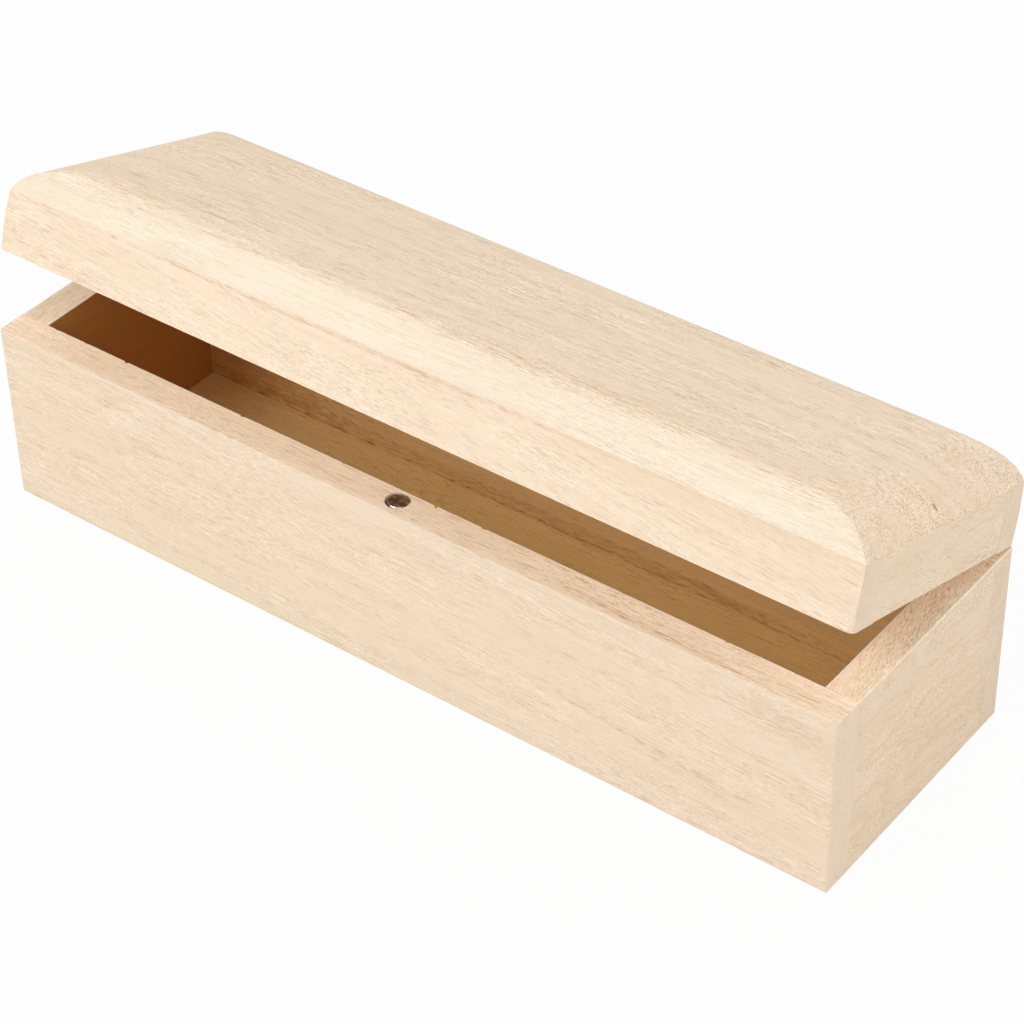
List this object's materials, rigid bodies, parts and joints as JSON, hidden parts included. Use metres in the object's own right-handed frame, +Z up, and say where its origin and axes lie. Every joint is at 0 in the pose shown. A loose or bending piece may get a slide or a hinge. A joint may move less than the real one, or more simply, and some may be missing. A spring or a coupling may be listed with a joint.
{
  "type": "hinged wooden box",
  "caption": "Long narrow wooden storage box for pencils and brushes: butt-jointed base, crowned lid on small butt hinges, magnet catch at the front.",
  "frame": {"origin": "centre of the underside of the base, where the box rests", "axes": "+X along the length towards the right end, +Y from the front to the hinged back, +Z up"},
  "size_m": [0.2, 0.0631, 0.0761],
  "materials": {
    "board_wood": "unfinished pale paulownia, sanded",
    "end_board_wood": "unfinished pale paulownia, sanded",
    "panel_wood": "thin smooth plywood, unfinished",
    "magnet_nickel": "nickel plated, dull",
    "hinge_brass": "brass plated, satin",
    "screw_brass": "brass plated, satin"
  },
  "bodies": {
    "base": {"front_board": "board_wood", "back_board": "board_wood", "left_end_board": "end_board_wood", "right_end_board": "end_board_wood", "bottom_panel": "panel_wood", "base_magnet": "magnet_nickel", "left_hinge_base_leaf": "hinge_brass", "left_hinge_pin": "hinge_brass", "right_hinge_base_leaf": "hinge_brass", "right_hinge_pin": "hinge_brass", "base_hinge_screws": "screw_brass"},
    "lid": {"lid_front_board": "board_wood", "lid_back_board": "board_wood", "lid_left_end_board": "end_board_wood", "lid_right_end_board": "end_board_wood", "lid_top_panel": "board_wood", "lid_magnet": "magnet_nickel", "left_hinge_lid_leaf": "hinge_brass", "right_hinge_lid_leaf": "hinge_brass", "lid_hinge_screws": "screw_brass"}
  },
  "joints": [
    {"name": "lid_hinge", "type": "hinge", "parent": "base", "child": "lid", "pos_m": [0, 0.03075, 0.04155], "axis": [-1, 0, 0], "range_deg": [-17.5, 162.5]}
  ]
}
